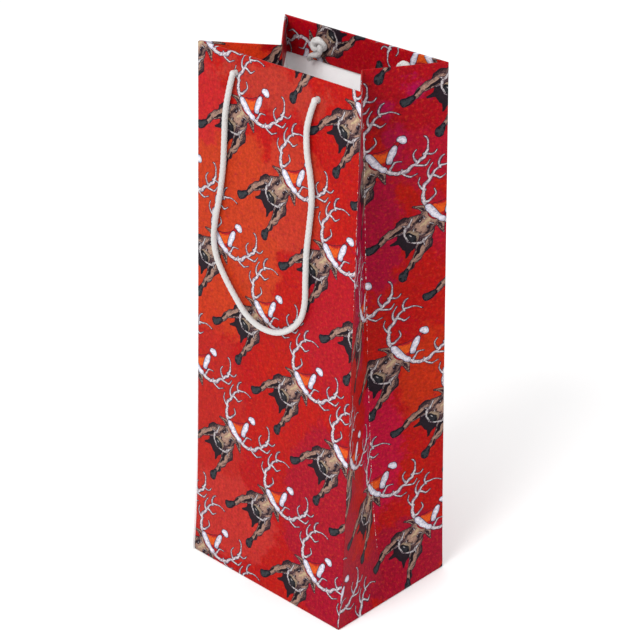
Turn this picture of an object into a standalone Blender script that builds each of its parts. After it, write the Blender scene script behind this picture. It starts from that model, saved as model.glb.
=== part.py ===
"""Wine gift bag: a tall gusseted paper bag with two rope handles, standing on its flat base.

One sheet of printed paper is creased into a front panel, a back panel and two side gussets, each
gusset in two halves that meet at a crease pushed in towards the middle. The sheet's top is turned
in over two stiffening cards, its bottom is folded to a block base with a loose card on it, and one
side is closed by a glued flap. Each handle is a rope whose ends pass through punched holes and are
knotted inside.

Metres, +Z up. The origin is the middle of the base, on the surface that the bag stands on. The
front panel faces -Y. Each panel between two creases is its own object.
"""

import math

import bmesh
import bpy
import numpy as np
from mathutils import Vector

# The folded bag
BAG_WIDTH = 0.126
BAG_DEPTH = 0.094
BAG_HEIGHT = 0.330
PAPER = 0.00035
GAP = 0.0003
CREASE_TRIM = 0.0004
CORNER_TRIM = 0.0010

# How far the mouth has closed: each panel leans in evenly, and a little more just above the base
FRONT, BACK = -1, 1
LEFT, RIGHT = -1, 1
EVEN_LEAN = {FRONT: 0.0126, BACK: 0.0080}
BASE_LEAN = {FRONT: 0.0030, BACK: 0.0010}
BASE_LEAN_HEIGHT = 0.035
CREASE_DROP = 0.0036
CREASE_DROP_HEIGHT = 0.040
FLARE_ROWS = 15
FLARE_SPACING = 1.7
GUSSET_COLUMNS = 4

# Turned-in hem and the card under it
HEM_DEPTH = 0.022
HEM_HALF_WIDTH = 0.0570
CARD = 0.0006
CARD_HALF_WIDTH = 0.0560
CARD_DEPTH = 0.020
GUSSET_HEM_INSET = 0.0055

# Base
FLAP_REACH = 0.057
FLAP_SIDE_CLEARANCE = 0.0010
SIDE_FLAP_REACH = 0.056
FLAP_TAPER = 0.94
BASE_CARD = 0.0010
BASE_CARD_MARGIN = 0.0020

# Glued side seam
SEAM_FLAP_WIDTH = 0.015
SEAM_FLAP_INSET = 0.0035
SEAM_FLAP_CLEARANCE = 0.0040

# Rope handles
CORD_RADIUS = 0.00175
CORD_CLEARANCE = 0.00035
CORD_POINT_SPACING = 0.0085
CORD_BEVEL = 2
CURVE_STEPS = 20
HOLE_RADIUS = 0.0026
HOLE_SEGMENTS = 24
HOLE_CUTTER_LENGTH = 0.014
HOLE_HALF_SPACING = 0.0315
HOLE_BELOW_TOP = 0.0115
KNOT_RADIUS = 0.0046
KNOT_HALF_LENGTH = 0.0040
KNOT_SEGMENTS = 20
KNOT_STEPS = 12
ELBOW_STEPS = 5

# A knot's cut tail, from the knot's middle: across to the left seen from inside, inwards, and down
TAIL_ACROSS = 0.0065
TAIL_INWARDS = 0.0010
TAIL_DOWN = 0.0090
TAIL_PARTS = 3

# Small distances for slopes and for joining points, and the angle from which an edge stays sharp
SLOPE_STEP = 0.001
MERGE_DISTANCE = 0.00001
WELD_DISTANCE = 0.000001
SHARP_ANGLE = math.radians(35)

# Route of each handle as it hangs: (across, up from the base), from the left hole to the right hole
FRONT_HANDLE_ROUTE = [
    (-0.0315, 0.3185), (-0.0342, 0.3093), (-0.0373, 0.2946), (-0.0381, 0.2779), (-0.0391, 0.2611),
    (-0.0417, 0.2441), (-0.0450, 0.2290), (-0.0465, 0.2170), (-0.0442, 0.2059), (-0.0374, 0.1954),
    (-0.0284, 0.1854), (-0.0191, 0.1772), (-0.0079, 0.1730), (0.0051, 0.1737), (0.0161, 0.1792),
    (0.0245, 0.1883), (0.0278, 0.1997), (0.0279, 0.2144), (0.0282, 0.2304), (0.0300, 0.2476),
    (0.0311, 0.2627), (0.0295, 0.2756), (0.0267, 0.2883), (0.0261, 0.3002), (0.0282, 0.3097),
    (0.0315, 0.3185),
]
BACK_HANDLE_ROUTE = [
    (-0.0315, 0.3185), (-0.0345, 0.3085), (-0.0362, 0.2940), (-0.0370, 0.2770), (-0.0382, 0.2600),
    (-0.0402, 0.2441), (-0.0420, 0.2291), (-0.0424, 0.2150), (-0.0398, 0.2019), (-0.0342, 0.1914),
    (-0.0262, 0.1829), (-0.0160, 0.1768), (-0.0040, 0.1744), (0.0085, 0.1756), (0.0198, 0.1808),
    (0.0292, 0.1892), (0.0358, 0.2000), (0.0388, 0.2131), (0.0388, 0.2281), (0.0372, 0.2441),
    (0.0358, 0.2600), (0.0350, 0.2770), (0.0345, 0.2940), (0.0335, 0.3085), (0.0315, 0.3185),
]
HANDLE_ROUTES = {FRONT: FRONT_HANDLE_ROUTE, BACK: BACK_HANDLE_ROUTE}

# Heights of the base layers, from the surface that the bag stands on
LAYER = PAPER + GAP
SIDE_FLAP_BOTTOM = 2 * LAYER
BASE_CARD_BOTTOM = 3 * LAYER
FLOOR_TOP = BASE_CARD_BOTTOM + BASE_CARD + GAP

# Depths of the layers at the mouth, from the bag's outer face to each layer's middle
WALL_LAYER = PAPER / 2
CARD_LAYER = PAPER + GAP + CARD / 2
HEM_LAYER = PAPER + GAP + CARD + GAP + PAPER / 2
GUSSET_HEM_LAYER = PAPER + GAP + PAPER / 2
HEM_INNER_FACE = HEM_LAYER + PAPER / 2
CORD_STAND_OFF = CORD_RADIUS + CORD_CLEARANCE

FACE_NAMES = {FRONT: "front", BACK: "back"}
HALF_NAMES = {FRONT: "front", BACK: "rear"}
SIDE_NAMES = {LEFT: "left", RIGHT: "right"}

# name: (colour, roughness)
FINISHES = {
    "printed_paper": ((0.62, 0.03, 0.02), 0.38),
    "plain_paper": ((0.86, 0.85, 0.83), 0.60),
    "card": ((0.80, 0.79, 0.75), 0.75),
    "rope": ((0.88, 0.87, 0.84), 0.80),
}


def clear_scene():
    for obj in list(bpy.data.objects):
        bpy.data.objects.remove(obj, do_unlink=True)


def new_collection(name):
    collection = bpy.data.collections.new(name)
    bpy.context.scene.collection.children.link(collection)
    return collection


def make_material(name, colour, roughness):
    material = bpy.data.materials.new(name)
    material.use_nodes = True
    shader = material.node_tree.nodes["Principled BSDF"]
    shader.inputs["Base Color"].default_value = (*colour, 1.0)
    shader.inputs["Roughness"].default_value = roughness
    shader.inputs["Metallic"].default_value = 0.0
    return material


def half_depth(z, face):
    """Distance of the front or back panel's outer face from the middle plane, at height z."""
    rise = max(z - FLOOR_TOP, 0.0)
    span = BAG_HEIGHT - FLOOR_TOP
    near_base = BASE_LEAN[face] * (1 - math.exp(-rise / BASE_LEAN_HEIGHT))
    return BAG_DEPTH / 2 - near_base - EVEN_LEAN[face] * rise / span


def crease(z):
    """(inset, y, z) of the gusset crease at height z of the sheet.

    Half a gusset of paper keeps its width however far it folds, and the crease keeps its length, so
    that it ends a little below the bag's top edge.
    """
    front, back = half_depth(z, FRONT), half_depth(z, BACK)
    half_mouth = (front + back) / 2
    inset = math.sqrt(max((BAG_DEPTH / 2) ** 2 - half_mouth**2, 0.0))
    drop = CREASE_DROP * (1 - math.exp(-max(z - FLOOR_TOP, 0.0) / CREASE_DROP_HEIGHT))
    return inset, (back - front) / 2, z - drop


def panel_point(face, x, depth, z):
    """A point of the front or back panel, depth behind its outer face."""
    return Vector((x, face * (half_depth(z, face) - depth), z))


def gusset_point(side, face, along, depth, z):
    """A point of a gusset half, along its width from the bag's corner, depth behind its outer face."""
    inset, crease_y, crease_z = crease(z)
    corner = Vector((side * BAG_WIDTH / 2, face * half_depth(z, face), z))
    fold = Vector((side * (BAG_WIDTH / 2 - inset), crease_y, crease_z))
    run = (fold - corner) / (BAG_DEPTH / 2)
    inward = Vector((-side * abs(run.y), face * abs(run.x), 0.0))
    return corner + run * along + inward * depth


def hem_heights():
    """Heights of a hem's rows, which the sheet outside it shares."""
    top = BAG_HEIGHT - GAP
    return [top - HEM_DEPTH, top - HEM_DEPTH / 2, top]


def wall_heights():
    """Heights of a wall's rows, closest together just above the base, where the gusset flares."""
    hem = hem_heights()
    rise = hem[0] - FLOOR_TOP
    flare = [FLOOR_TOP + rise * (row / FLARE_ROWS) ** FLARE_SPACING for row in range(FLARE_ROWS)]
    return [0.0, *flare, *hem[:-1], BAG_HEIGHT]


def evenly(start, end, parts):
    return [start + (end - start) * part / parts for part in range(parts + 1)]


def sheet(name, place, columns, heights, thickness, material, collection):
    """A solid sheet: a grid laid on place(across, z), then given its thickness."""
    shape = bmesh.new()
    bmesh.ops.create_grid(shape, x_segments=len(columns) - 1, y_segments=len(heights) - 1, size=1.0)
    for vertex in shape.verts:
        column = round((vertex.co.x + 1) / 2 * (len(columns) - 1))
        row = round((vertex.co.y + 1) / 2 * (len(heights) - 1))
        vertex.co = place(columns[column], heights[row])
    mesh = bpy.data.meshes.new(name)
    shape.to_mesh(mesh)
    shape.free()
    obj = bpy.data.objects.new(name, mesh)
    collection.objects.link(obj)
    mesh.materials.append(material)
    solid = obj.modifiers.new("thickness", "SOLIDIFY")
    solid.thickness = thickness
    solid.offset = 0.0
    solid.use_even_offset = True
    return obj


def make_panels(materials, collection):
    """The two wide panels, their turned-in hems and the stiffening cards between them."""
    walls = {}
    half_width = BAG_WIDTH / 2 - CORNER_TRIM
    top = BAG_HEIGHT - GAP
    layers = [
        ("panel", half_width, WALL_LAYER, PAPER, None, "printed_paper"),
        ("top_card", CARD_HALF_WIDTH, CARD_LAYER, CARD, CARD_DEPTH, "card"),
        ("hem", HEM_HALF_WIDTH, HEM_LAYER, PAPER, HEM_DEPTH, "printed_paper"),
    ]
    for face in (FRONT, BACK):
        walls[face] = []
        for kind, reach, depth, thickness, drop, finish in layers:
            heights = wall_heights() if drop is None else [top - drop, top]
            walls[face].append(
                sheet(
                    f"{FACE_NAMES[face]}_{kind}",
                    lambda x, z, face=face, depth=depth: panel_point(face, x, depth, z),
                    [-reach, reach],
                    heights,
                    thickness,
                    materials[finish],
                    collection,
                )
            )
    return walls


def make_gussets(materials, collection):
    """The four gusset halves and their turned-in hems."""
    full = BAG_DEPTH / 2
    for side in (LEFT, RIGHT):
        for face in (FRONT, BACK):
            name = f"{SIDE_NAMES[side]}_gusset_{HALF_NAMES[face]}"
            layers = [
                (name, WALL_LAYER, CORNER_TRIM, wall_heights()),
                (f"{name}_hem", GUSSET_HEM_LAYER, GUSSET_HEM_INSET, hem_heights()),
            ]
            for layer, depth, start, heights in layers:
                sheet(
                    layer,
                    lambda along, z, side=side, face=face, depth=depth: gusset_point(
                        side, face, along, depth, z
                    ),
                    evenly(start, full - CREASE_TRIM, GUSSET_COLUMNS),
                    heights,
                    PAPER,
                    materials["printed_paper"],
                    collection,
                )


def make_seam_flap(materials, collection):
    """The glued flap: it runs on from the front panel's left edge, inside the left gusset."""
    low = FLOOR_TOP + SEAM_FLAP_CLEARANCE
    high = hem_heights()[0] - GAP
    between = [z for z in wall_heights() if low + GAP < z < high - GAP]
    sheet(
        "side_seam_flap",
        lambda along, z: gusset_point(LEFT, FRONT, along, GUSSET_HEM_LAYER, z),
        evenly(SEAM_FLAP_INSET, SEAM_FLAP_INSET + SEAM_FLAP_WIDTH, 2),
        [low, *between, high],
        PAPER,
        materials["plain_paper"],
        collection,
    )


def flat_piece(name, outline, bottom, thickness, material, collection):
    """A flat plate with this outline in the XY plane."""
    curve = bpy.data.curves.new(name, "CURVE")
    curve.dimensions = "2D"
    curve.fill_mode = "BOTH"
    curve.extrude = thickness / 2
    spline = curve.splines.new("POLY")
    spline.points.add(len(outline) - 1)
    for point, (x, y) in zip(spline.points, outline):
        point.co = (x, y, 0.0, 1.0)
    spline.use_cyclic_u = True
    curve.materials.append(material)
    obj = bpy.data.objects.new(name, curve)
    obj.location.z = bottom + thickness / 2
    collection.objects.link(obj)
    return obj


def base_flap_section(face):
    """The outline across a base flap in (y, z). The back flap steps up and laps over the front one."""
    outer = face * (BAG_DEPTH / 2 - LAYER)
    free = face * (BAG_DEPTH / 2 - FLAP_REACH)
    if face == FRONT:
        return [(outer, 0), (free, 0), (free, PAPER), (outer, PAPER)]
    step = BAG_DEPTH / 2 - FLAP_REACH
    low_end = -step + GAP
    high_start = low_end + PAPER
    return [
        (outer, 0),
        (low_end, 0),
        (low_end, LAYER),
        (free, LAYER),
        (free, LAYER + PAPER),
        (high_start, LAYER + PAPER),
        (high_start, PAPER),
        (outer, PAPER),
    ]


def base_flap(face, materials, collection):
    """A base flap: its section run across the bag, then narrowed at about 45 degrees to its free edge."""
    name = f"base_flap_{FACE_NAMES[face]}"
    half_width = BAG_WIDTH / 2 - LAYER - FLAP_SIDE_CLEARANCE
    shape = bmesh.new()
    ring = [shape.verts.new((-half_width, y, z)) for y, z in base_flap_section(face)]
    profile = shape.faces.new(ring)
    run = bmesh.ops.extrude_face_region(shape, geom=[profile])
    moved = [item for item in run["geom"] if isinstance(item, bmesh.types.BMVert)]
    bmesh.ops.translate(shape, verts=moved, vec=(2 * half_width, 0, 0))
    for vertex in shape.verts:
        from_fold = BAG_DEPTH / 2 - face * vertex.co.y
        vertex.co.x = math.copysign(half_width - from_fold * FLAP_TAPER, vertex.co.x)
    bmesh.ops.recalc_face_normals(shape, faces=shape.faces)
    mesh = bpy.data.meshes.new(name)
    shape.to_mesh(mesh)
    shape.free()
    mesh.materials.append(materials["printed_paper"])
    obj = bpy.data.objects.new(name, mesh)
    collection.objects.link(obj)
    return obj


def make_base(materials, collection):
    """The folded block base and the loose card on it."""
    for face in (FRONT, BACK):
        base_flap(face, materials, collection)
    half_run = BAG_DEPTH / 2 - LAYER - FLAP_SIDE_CLEARANCE
    outer = BAG_WIDTH / 2 - LAYER - FLAP_SIDE_CLEARANCE
    inner = BAG_WIDTH / 2 - SIDE_FLAP_REACH
    for side in (LEFT, RIGHT):
        outline = [
            (side * outer, -half_run),
            (side * inner, -half_run),
            (side * inner, half_run),
            (side * outer, half_run),
        ]
        name = f"base_flap_{SIDE_NAMES[side]}"
        flat_piece(name, outline, SIDE_FLAP_BOTTOM, PAPER, materials["printed_paper"], collection)
    across = BAG_WIDTH / 2 - BASE_CARD_MARGIN
    deep = BAG_DEPTH / 2 - BASE_CARD_MARGIN
    outline = [(-across, -deep), (across, -deep), (across, deep), (-across, deep)]
    flat_piece("base_card", outline, BASE_CARD_BOTTOM, BASE_CARD, materials["card"], collection)


def hole_frame(side, face):
    """(point on the outer face, outward normal) of a handle hole."""
    z = BAG_HEIGHT - HOLE_BELOW_TOP
    rise = half_depth(z + SLOPE_STEP, face) - half_depth(z - SLOPE_STEP, face)
    slope = rise / (2 * SLOPE_STEP)
    normal = Vector((0.0, face, -slope)).normalized()
    return Vector((side * HOLE_HALF_SPACING, face * half_depth(z, face), z)), normal


def elbow(side, face):
    """Where the rope turns from the hole to hang down, just in front of the panel."""
    point, normal = hole_frame(side, face)
    return point + normal * CORD_STAND_OFF


def punch_holes(walls, cutters):
    """The rope's holes through each panel, its card and its hem."""
    for face in (FRONT, BACK):
        for side in (LEFT, RIGHT):
            point, normal = hole_frame(side, face)
            mesh = bpy.data.meshes.new("hole_cutter")
            shape = bmesh.new()
            bmesh.ops.create_cone(
                shape,
                cap_ends=True,
                segments=HOLE_SEGMENTS,
                radius1=HOLE_RADIUS,
                radius2=HOLE_RADIUS,
                depth=HOLE_CUTTER_LENGTH,
            )
            shape.to_mesh(mesh)
            shape.free()
            cutter = bpy.data.objects.new(f"hole_cutter_{FACE_NAMES[face]}_{SIDE_NAMES[side]}", mesh)
            cutter.location = point
            cutter.rotation_mode = "QUATERNION"
            cutter.rotation_quaternion = normal.to_track_quat("Z", "Y")
            cutter.hide_render = True
            cutter.display_type = "WIRE"
            cutters.objects.link(cutter)
            for wall in walls[face]:
                cut = wall.modifiers.new(f"hole_{SIDE_NAMES[side]}", "BOOLEAN")
                cut.operation = "DIFFERENCE"
                cut.object = cutter


def smooth_path(points, spacing):
    """Points at an even spacing on a smooth curve through the given points."""
    padded = [2 * points[0] - points[1], *points, 2 * points[-1] - points[-2]]
    fine = []
    for before, start, end, after in zip(padded, padded[1:], padded[2:], padded[3:]):
        for step in range(CURVE_STEPS):
            t = step / CURVE_STEPS
            fine.append(
                0.5
                * (
                    2 * start
                    + (end - before) * t
                    + (2 * before - 5 * start + 4 * end - after) * t**2
                    + (3 * start - before - 3 * end + after) * t**3
                )
            )
    fine.append(points[-1])
    lengths = np.cumsum([0.0] + [(b - a).length for a, b in zip(fine, fine[1:])])
    count = max(2, round(lengths[-1] / spacing))
    marks = np.linspace(0.0, lengths[-1], count + 1)
    axes = [np.interp(marks, lengths, [point[axis] for point in fine]) for axis in range(3)]
    return [Vector(place) for place in zip(*axes)]


def tube(name, points, radius, origin, material, collection):
    """A rope as a round tube along points, its object's origin at origin."""
    curve = bpy.data.curves.new(name, "CURVE")
    curve.dimensions = "3D"
    curve.bevel_depth = radius
    curve.bevel_resolution = CORD_BEVEL
    curve.use_fill_caps = True
    spline = curve.splines.new("POLY")
    spline.points.add(len(points) - 1)
    for point, place in zip(spline.points, points):
        point.co = (*(place - origin), 1.0)
    curve.materials.append(material)
    obj = bpy.data.objects.new(name, curve)
    obj.location = origin
    collection.objects.link(obj)
    return obj


def handle_path(face):
    """The rope's centreline as it hangs against the panel, from one hole's elbow to the other's."""
    points = []
    for x, z in HANDLE_ROUTES[face]:
        point = panel_point(face, x, 0.0, z)
        points.append(point + hole_frame(RIGHT, face)[1] * CORD_STAND_OFF)
    path = smooth_path(points, CORD_POINT_SPACING)
    clear = CORD_RADIUS + GAP
    for end, inner in ((0, 1), (-1, -2)):
        away = (path[inner] - path[end]).normalized()
        path[end] = path[end] + away * clear
    return path


def mesh_of(obj, collection):
    """The same object as a mesh with its loose caps welded, so that a Boolean can take it."""
    bpy.context.view_layer.update()
    evaluated = obj.evaluated_get(bpy.context.evaluated_depsgraph_get())
    mesh = bpy.data.meshes.new_from_object(evaluated)
    shape = bmesh.new()
    shape.from_mesh(mesh)
    bmesh.ops.remove_doubles(shape, verts=shape.verts, dist=WELD_DISTANCE)
    bmesh.ops.recalc_face_normals(shape, faces=shape.faces)
    shape.to_mesh(mesh)
    shape.free()
    name = obj.name
    made = bpy.data.objects.new(name, mesh)
    made.matrix_world = obj.matrix_world
    bpy.data.objects.remove(obj, do_unlink=True)
    made.name = name
    collection.objects.link(made)
    return made


def knot_profile():
    """(radius, height along the hole's axis) from the elbow's rounded end down to the knot's far end."""
    profile = []
    for share in evenly(0.0, 1.0, ELBOW_STEPS):
        angle = math.pi / 2 * (1 - share)
        profile.append((CORD_RADIUS * math.cos(angle), CORD_RADIUS * math.sin(angle)))
    inner_face = -CORD_STAND_OFF - HEM_INNER_FACE - 2 * GAP
    start = math.acos(CORD_RADIUS / KNOT_RADIUS)
    middle = inner_face - KNOT_HALF_LENGTH * math.sin(start)
    for angle in evenly(start, -math.pi / 2, KNOT_STEPS):
        profile.append((KNOT_RADIUS * math.cos(angle), middle + KNOT_HALF_LENGTH * math.sin(angle)))
    profile[0] = (0.0, profile[0][1])
    profile[-1] = (0.0, profile[-1][1])
    return profile, middle


def knot(side, face, materials, collection, cutters):
    """The rope's end: through the hole, knotted inside against the hem, with a short cut tail."""
    name = f"{FACE_NAMES[face]}_{SIDE_NAMES[side]}_knot"
    profile, middle = knot_profile()
    mesh = bpy.data.meshes.new(name)
    shape = bmesh.new()
    ring = [shape.verts.new((radius, 0.0, height)) for radius, height in profile]
    for upper, lower in zip(ring, ring[1:]):
        shape.edges.new((upper, lower))
    shape.to_mesh(mesh)
    shape.free()
    mesh.materials.append(materials["rope"])
    obj = bpy.data.objects.new(name, mesh)
    _, normal = hole_frame(side, face)
    origin = elbow(side, face)
    obj.location = origin
    obj.rotation_mode = "QUATERNION"
    obj.rotation_quaternion = normal.to_track_quat("Z", "Y")
    collection.objects.link(obj)
    turn = obj.modifiers.new("turn", "SCREW")
    turn.axis = "Z"
    turn.steps = KNOT_SEGMENTS
    turn.render_steps = KNOT_SEGMENTS
    turn.use_merge_vertices = True
    turn.merge_threshold = MERGE_DISTANCE
    centre = origin + normal * middle
    reach = Vector((-face * TAIL_ACROSS, -face * TAIL_INWARDS, -TAIL_DOWN))
    path = [centre + reach * share for share in evenly(0.0, 1.0, TAIL_PARTS)]
    tail = tube(f"{name}_tail", path, CORD_RADIUS, centre, materials["rope"], cutters)
    tail = mesh_of(tail, cutters)
    tail.hide_render = True
    tail.display_type = "WIRE"
    join = obj.modifiers.new("tail", "BOOLEAN")
    join.operation = "UNION"
    join.object = tail
    return obj


def make_handles(materials, collection, cutters):
    """Two rope handles and their knots."""
    for face in (FRONT, BACK):
        axis = elbow(RIGHT, face)
        origin = Vector((0.0, axis.y, axis.z))
        name = f"{FACE_NAMES[face]}_handle_cord"
        tube(name, handle_path(face), CORD_RADIUS, origin, materials["rope"], collection)
        for side in (LEFT, RIGHT):
            knot(side, face, materials, collection, cutters)


def shade(collection):
    """Round pieces are smooth, with their real edges kept sharp."""
    for obj in collection.objects:
        if obj.type == "MESH":
            obj.data.shade_smooth()
            obj.data.set_sharp_from_angle(angle=SHARP_ANGLE)


def main():
    clear_scene()
    collection = new_collection("wine_gift_bag")
    cutters = new_collection("cutters")
    materials = {name: make_material(name, *finish) for name, finish in FINISHES.items()}
    walls = make_panels(materials, collection)
    punch_holes(walls, cutters)
    make_gussets(materials, collection)
    make_seam_flap(materials, collection)
    make_base(materials, collection)
    make_handles(materials, collection, cutters)
    shade(collection)


main()
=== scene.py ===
"""The looks of the wine gift bag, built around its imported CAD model.

The bag's wall is one printed sheet: it starts at the glued flap, runs round the front panel, the
right gusset, the back panel and the left gusset, and turns over at the top into the hem. Its print
is placed in millimetres on the flat sheet. Each rope handle is a free cord outside the bag, and
each of its ends is a short stub through a punched hole with an overhand knot inside.

Metres, +Z up, in the frame of the CAD model. The front panel faces -Y.
"""

import math

import bmesh
import bpy
import numpy as np
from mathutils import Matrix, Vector


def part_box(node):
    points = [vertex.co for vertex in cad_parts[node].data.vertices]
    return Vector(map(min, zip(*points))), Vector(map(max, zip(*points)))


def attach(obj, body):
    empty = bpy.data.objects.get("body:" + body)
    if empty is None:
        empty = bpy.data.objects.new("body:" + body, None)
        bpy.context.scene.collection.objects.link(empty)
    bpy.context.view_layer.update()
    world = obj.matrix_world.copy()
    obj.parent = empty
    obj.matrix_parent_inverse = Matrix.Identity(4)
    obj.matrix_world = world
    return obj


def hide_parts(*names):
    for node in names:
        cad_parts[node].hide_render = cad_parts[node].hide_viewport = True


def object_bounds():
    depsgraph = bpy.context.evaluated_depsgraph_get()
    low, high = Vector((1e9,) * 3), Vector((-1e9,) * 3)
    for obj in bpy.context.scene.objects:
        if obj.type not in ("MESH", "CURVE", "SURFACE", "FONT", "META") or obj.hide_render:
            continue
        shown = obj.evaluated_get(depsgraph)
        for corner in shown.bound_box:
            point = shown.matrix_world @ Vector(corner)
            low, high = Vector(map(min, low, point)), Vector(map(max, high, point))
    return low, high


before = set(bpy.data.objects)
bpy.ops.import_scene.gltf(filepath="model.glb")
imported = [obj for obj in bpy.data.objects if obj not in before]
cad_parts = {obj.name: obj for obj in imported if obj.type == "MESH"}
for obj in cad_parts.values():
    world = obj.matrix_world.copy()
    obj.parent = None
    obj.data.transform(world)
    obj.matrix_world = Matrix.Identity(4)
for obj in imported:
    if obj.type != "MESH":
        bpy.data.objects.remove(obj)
CAD_LOW, CAD_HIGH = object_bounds()

MM = 0.001
FRONT, BACK = -1, 1
LEFT, RIGHT = -1, 1
FACE_NAMES = {FRONT: "front", BACK: "back"}
SIDE_NAMES = {LEFT: "left", RIGHT: "right"}

# The camera: degrees round from the front and up, metres, and the lens in millimetres
CAMERA_AZIMUTH, CAMERA_ELEVATION = 44.104, 26.466
CAMERA_DISTANCE = 1.1049
CAMERA_AIM_ACROSS, CAMERA_AIM_UP = 0.00283, 0.16463
CAMERA_LENS = 105.07
CAMERA_NEAR, CAMERA_FAR = 0.01, 100.0

# Disk lights, in degrees and metres: (name, azimuth, elevation, distance, size, watts)
LIGHTS = [("key", 6, 44, 1.7, 0.9, 17.5), ("fill", 70, 38, 2.2, 1.4, 5.0)]
AMBIENT_LIGHT = 0.98

# The floor lies just under the bag, so that the two don't share a plane
FLOOR_SIZE = 20.0
FLOOR_DROP = 0.0002

# The folded bag. A wide panel leans in evenly to its top, and a little more just above its base.
BAG_WIDTH = CAD_HIGH.x - CAD_LOW.x
BAG_DEPTH = CAD_HIGH.y - CAD_LOW.y
BAG_HEIGHT = CAD_HIGH.z
GAP = 0.0003
FLOOR_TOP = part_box("base_card")[1].z + GAP
EVEN_LEAN = {FRONT: 0.0126, BACK: 0.0080}
BASE_LEAN = {FRONT: 0.0030, BACK: 0.0010}
BASE_LEAN_HEIGHT = 0.035
CREASE_DROP = 0.0036
CREASE_DROP_HEIGHT = 0.040

# The sheet
PAPER = 0.00025
FOLD_RADIUS = 0.0007
HEM_DEPTH = 0.022
HEM_TURN_RISE = 0.00045
HEM_FACE_DEPTH = 0.00155
GUSSET_HEM_FACE_DEPTH = 0.00080
LIP_RADIUS = 0.0006
LIP_REACH = 0.0010
FLAP_WIDTH = 0.015
FLAP_DEPTH = 0.00045
FLAP_LOW, FLAP_HIGH = 0.008, 0.3015
FLAP_COLUMNS = 3
SEAM_PROUD = 0.0011
SEAM_PROUD_HEIGHT = 0.115
SEAM_LEAST = 0.0002

# The sheet's mesh: rows up it, columns across a panel, and those that lie close beside a bend
LIP_ROWS = 4
FOOT_LOW, FOOT_HIGH, FOOT_ROWS = 0.004, 0.060, 18
WALL_LOW, WALL_ROWS = 0.066, 40
HEM_STEP, HEM_ROWS = 0.005, 4
HEM_BACK_STEP = 0.006
HEM_TURN_ROWS = 8
LIP_CLOSE = 0.0006
HEM_CLOSE = 0.0007
FOLD_COLUMNS = 4
FOLD_CLOSE = 0.0008
FLAP_CLOSE = 0.0005
COLUMN_WIDTH = 0.0062
SHARP_ANGLE = math.radians(42)

# The heights over which a panel starts to bow, and over which the stiff hem holds a share back
BOW_RISE = (0.004, 0.070)
BOW_HEM, BOW_HELD = (0.265, 0.320), 0.7

# Waves up each panel: (height, length, turns across the panel, turns from panel to panel)
WAVES = [(0.00035, 0.135, 0.0, 0.37), (0.00018, 0.058, 1.0, 0.21)]

# Rope handles
ROPE_RADIUS = 0.00175
ROPE_STAND_OFF = 0.0021
ROPE_PITCH = 0.0085
ROPE_SIDES = 24
HANDLE_STEP, KNOT_STEP = 0.0008, 0.0006
HOLE_RADIUS = 0.0021
HOLE_HALF_SPACING = 0.0315
HOLE_BELOW_TOP = 0.0115
HOLE_SIDES = 40
CUTTER_LENGTH = 0.014

# The rope's strands, as shares of its radius
STRANDS = 3
STRAND_OFFSET, STRAND_RADIUS = 0.22, 0.78

# A cut end frays over its last millimetres into tufts that turn as they spread
FRAY_LENGTH = 3
FRAY_SPREAD, FRAY_MOST = 0.10, 0.30
FRAY_TUFTS, FRAY_TURN = 8, 1.7

# Route of each handle as it hangs: (across, up from the base), from the left hole to the right hole
FRONT_HANDLE_ROUTE = [
    (-0.0315, 0.3185), (-0.0342, 0.3093), (-0.0373, 0.2946), (-0.0381, 0.2779), (-0.0391, 0.2611),
    (-0.0417, 0.2441), (-0.0450, 0.2290), (-0.0465, 0.2170), (-0.0442, 0.2059), (-0.0374, 0.1954),
    (-0.0284, 0.1854), (-0.0191, 0.1772), (-0.0079, 0.1730), (0.0051, 0.1737), (0.0161, 0.1792),
    (0.0245, 0.1883), (0.0278, 0.1997), (0.0279, 0.2144), (0.0282, 0.2304), (0.0300, 0.2476),
    (0.0311, 0.2627), (0.0295, 0.2756), (0.0267, 0.2883), (0.0261, 0.3002), (0.0282, 0.3097),
    (0.0315, 0.3185),
]
BACK_HANDLE_ROUTE = [
    (-0.0315, 0.3185), (-0.0345, 0.3085), (-0.0362, 0.2940), (-0.0370, 0.2770), (-0.0382, 0.2600),
    (-0.0402, 0.2441), (-0.0420, 0.2291), (-0.0424, 0.2150), (-0.0398, 0.2019), (-0.0342, 0.1914),
    (-0.0262, 0.1829), (-0.0160, 0.1768), (-0.0040, 0.1744), (0.0085, 0.1756), (0.0198, 0.1808),
    (0.0292, 0.1892), (0.0358, 0.2000), (0.0388, 0.2131), (0.0388, 0.2281), (0.0372, 0.2441),
    (0.0358, 0.2600), (0.0350, 0.2770), (0.0345, 0.2940), (0.0335, 0.3085), (0.0315, 0.3185),
]
HANDLE_ROUTES = {FRONT: FRONT_HANDLE_ROUTE, BACK: BACK_HANDLE_ROUTE}

# How far a knot lies from its hole, in millimetres: (across, up)
KNOT_SHIFTS = {(RIGHT, BACK): (3.5, 1.2), (LEFT, FRONT): (-1.0, 0.6), (RIGHT, FRONT): (0.8, -0.4)}


# ---- objects and the camera


def add_object(name, data):
    obj = bpy.data.objects.new(name, data)
    bpy.context.scene.collection.objects.link(obj)
    return obj


def mesh_from(name, shape):
    """A new mesh with the faces of a bmesh, which is freed."""
    mesh = bpy.data.meshes.new(name)
    shape.to_mesh(mesh)
    shape.free()
    return mesh


def direction(azimuth, elevation):
    """The direction from the bag to a place round and above it, in degrees from the front."""
    azimuth, elevation = math.radians(azimuth), math.radians(elevation)
    flat = math.cos(elevation)
    return Vector((math.sin(azimuth) * flat, -math.cos(azimuth) * flat, math.sin(elevation)))


def face_along(obj, forward):
    """Turn a camera or light to look along a direction."""
    obj.rotation_euler = forward.to_track_quat("-Z", "Y").to_euler()


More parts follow.
